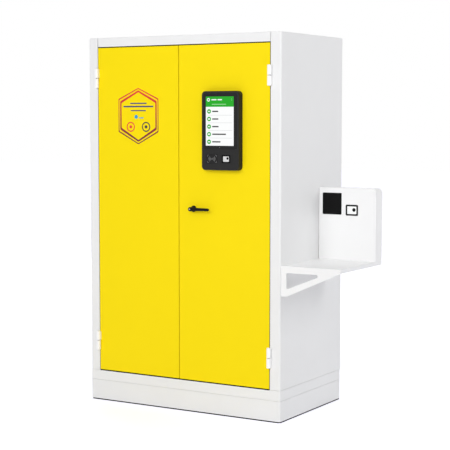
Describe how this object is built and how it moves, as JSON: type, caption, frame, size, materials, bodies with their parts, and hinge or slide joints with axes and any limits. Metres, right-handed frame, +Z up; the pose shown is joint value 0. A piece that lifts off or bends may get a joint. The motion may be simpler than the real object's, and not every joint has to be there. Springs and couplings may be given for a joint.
{
  "type": "flammable safety cabinet",
  "caption": "Two-door double-walled steel safety cabinet with tray shelves, sump tray, a touch terminal on the door, rod lock, and a bracketed side shelf with a device housing.",
  "frame": {"origin": "on the floor, under the middle of the cabinet body", "axes": "+X to the right seen from the front, +Y to the back, +Z up"},
  "size_m": [1.534, 0.7784, 2],
  "materials": {
    "foot_black": "matt black foot strip",
    "white_paint": "fine-textured white powder coat",
    "liner_paint": "smooth light grey powder coat",
    "yellow_paint": "satin signal yellow powder coat",
    "zinc_steel": "galvanised sheet",
    "bright_steel": "bright zinc-plated steel",
    "brass": "turned brass",
    "seal_rubber": "soft black rubber",
    "handle_black": "satin black reinforced plastic",
    "device_black": "fine-textured black plastic",
    "board_green": "green circuit board",
    "screen": "lit flat display",
    "dark_glass": "black-printed cover glass",
    "lit_window": "lit white scanner window"
  },
  "bodies": {
    "root": {"base_ring": "foot_black", "plinth": "white_paint", "base_frame": "white_paint", "left_side_panel": "white_paint", "right_side_panel": "white_paint", "back_panel": "white_paint", "roof_panel": "white_paint", "top_beam": "white_paint", "door_sill": "white_paint", "floor_liner": "liner_paint", "left_liner": "liner_paint", "right_liner": "liner_paint", "back_liner": "liner_paint", "ceiling_liner": "liner_paint", "wall_spacers": "zinc_steel", "fire_strips": "seal_rubber", "door_seal": "seal_rubber", "shelf_uprights": "zinc_steel", "shelf_clips": "zinc_steel", "lower_tray_shelf": "zinc_steel", "middle_tray_shelf": "zinc_steel", "upper_tray_shelf": "zinc_steel", "sump_tray": "zinc_steel", "sump_grate": "zinc_steel", "exhaust_spigot": "zinc_steel", "earth_stud": "brass", "frame_hinge_halves": "white_paint", "hinge_pins": "bright_steel", "wing_shelf": "white_paint", "front_bracket": "white_paint", "rear_bracket": "white_paint", "bracket_bolts": "bright_steel", "device_housing": "white_paint", "housing_reader": "device_black", "housing_scan_frame": "device_black", "housing_scan_window": "lit_window"},
    "left_door": {"left_door_skin": "yellow_paint", "left_door_pan": "yellow_paint", "left_hinge_halves": "white_paint"},
    "right_door": {"right_door_skin": "yellow_paint", "right_door_pan": "yellow_paint", "right_hinge_halves": "white_paint", "seam_seal": "seal_rubber", "handle_rosette": "handle_black", "gear_plate": "zinc_steel", "rod_guides": "zinc_steel", "terminal_case": "device_black", "terminal_back": "bright_steel", "terminal_board": "board_green", "terminal_display": "screen", "terminal_glass": "dark_glass", "terminal_reader_window": "dark_glass", "terminal_scan_window": "lit_window"},
    "handle": {"handle_lever": "handle_black", "handle_spindle": "bright_steel", "lock_pinion": "bright_steel"},
    "lock": {"lock_cylinder": "bright_steel"},
    "upper_rod": {"upper_lock_rod": "bright_steel"},
    "lower_rod": {"lower_lock_rod": "bright_steel"}
  },
  "joints": [
    {"name": "left_door_hinge", "type": "hinge", "parent": "root", "child": "left_door", "pos_m": [-0.53983, -0.3621, 1], "axis": [0, 0, -1], "range_deg": [0, 170]},
    {"name": "right_door_hinge", "type": "hinge", "parent": "root", "child": "right_door", "pos_m": [0.53983, -0.3621, 1], "axis": [0, 0, 1], "range_deg": [0, 170]},
    {"name": "handle_turn", "type": "hinge", "parent": "right_door", "child": "handle", "pos_m": [0.079, -0.36, 1.088], "axis": [0, 1, 0], "range_deg": [0, 90]},
    {"name": "lock_turn", "type": "hinge", "parent": "handle", "child": "lock", "pos_m": [0.079, -0.385, 1.088], "axis": [0, 1, 0], "range_deg": [0, 90]},
    {"name": "upper_rod_slide", "type": "slide", "parent": "right_door", "child": "upper_rod", "axis": [0, 0, 1], "range_m": [0, 0.01885]},
    {"name": "lower_rod_slide", "type": "slide", "parent": "right_door", "child": "lower_rod", "axis": [0, 0, -1], "range_m": [0, 0.01885]}
  ],
  "couplings": [
    {"joint": "handle_turn", "follows": "upper_rod_slide", "rad_per_m": 83.333},
    {"joint": "lower_rod_slide", "follows": "upper_rod_slide", "ratio": 1}
  ]
}
